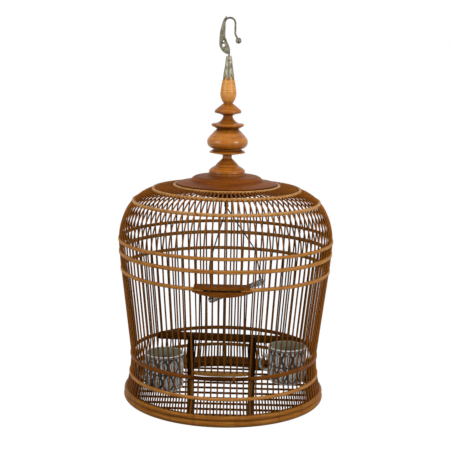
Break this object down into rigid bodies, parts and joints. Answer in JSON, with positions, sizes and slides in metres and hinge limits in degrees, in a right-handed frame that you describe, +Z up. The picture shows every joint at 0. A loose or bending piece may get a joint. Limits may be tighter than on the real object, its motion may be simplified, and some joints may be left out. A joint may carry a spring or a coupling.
{
  "type": "bird cage",
  "caption": "Round bird cage of bamboo bars through rattan hoops, with a lift-up door, a swing, a perch, porcelain cups and a turned finial with a swivel hook.",
  "frame": {"origin": "centre of the base's underside, on the surface the cage stands on", "axes": "+Z up along the cage's axis, -Y towards the door, +X to the right as the door is faced"},
  "size_m": [0.3691, 0.369, 0.6567],
  "materials": {
    "rattan": "varnished split rattan, golden tan, satin",
    "bamboo": "varnished round bamboo splints, orange brown, satin",
    "board_wood": "planed hardwood board, varnished",
    "dark_wood": "dark stained hardwood, satin",
    "cap_wood": "turned reddish brown hardwood, varnished",
    "finial_wood": "turned orange brown hardwood, glossy varnish",
    "steel": "plain steel, out of sight",
    "pewter": "cast nickel brass, dull with darkened hollows",
    "black_wire": "blackened steel wire",
    "porcelain": "glazed off-white porcelain with blue painted scrollwork"
  },
  "bodies": {
    "cage": {"base_ring_lower": "rattan", "base_ring_upper": "rattan", "skirt_ring": "rattan", "waist_ring": "rattan", "belly_ring_lower": "rattan", "belly_ring_middle": "rattan", "belly_ring_upper": "rattan", "shoulder_ring": "rattan", "crown_ring_outer": "rattan", "crown_ring_inner": "rattan", "waist_binding": "rattan", "wall_bars": "bamboo", "head_bars": "bamboo", "sill_bars": "bamboo", "skirt_bars": "bamboo", "crown_bars": "bamboo", "floor_rods": "bamboo", "lintel_pegs": "bamboo", "waist_pegs": "bamboo", "lintel_upper": "board_wood", "lintel_lower": "board_wood", "door_post_left": "dark_wood", "door_post_right": "dark_wood", "lower_perch": "dark_wood", "top_cap": "cap_wood", "cap_boss": "cap_wood", "finial_foot": "finial_wood", "finial_bulb": "finial_wood", "finial_disc": "finial_wood", "finial_umbrella": "finial_wood", "finial_drop": "finial_wood", "tie_rod": "steel", "tie_nut": "steel", "tie_washer": "steel", "hook_ferrule": "pewter", "swing_eye": "black_wire"},
    "door": {"door_bars": "bamboo", "door_rail": "board_wood"},
    "swing": {"swing_wire": "black_wire", "swing_perch": "dark_wood", "swing_cap_front": "porcelain", "swing_cap_back": "porcelain"},
    "hook": {"hook_wire": "pewter", "hook_ball": "pewter", "hook_leaf": "pewter"},
    "cup_left_body": {"cup_left": "porcelain"},
    "cup_right_body": {"cup_right": "porcelain"}
  },
  "joints": [
    {"name": "door_slide", "type": "slide", "parent": "cage", "child": "door", "axis": [0, -0.0506, 0.9987], "range_m": [0, 0.06]},
    {"name": "swing_rock", "type": "hinge", "parent": "cage", "child": "swing", "pos_m": [0, 0, 0.3375], "axis": [0.515, 0.8572, 0], "range_deg": [-20, 40]},
    {"name": "hook_swivel", "type": "hinge", "parent": "cage", "child": "hook", "pos_m": [0, 0, 0.5901], "axis": [0, 0, 1], "continuous": true},
    {"name": "cup_left_lift", "type": "slide", "parent": "cage", "child": "cup_left_body", "axis": [0, 0, 1], "range_m": [0, 0.03]},
    {"name": "cup_right_lift", "type": "slide", "parent": "cage", "child": "cup_right_body", "axis": [0, 0, 1], "range_m": [0, 0.03]}
  ]
}
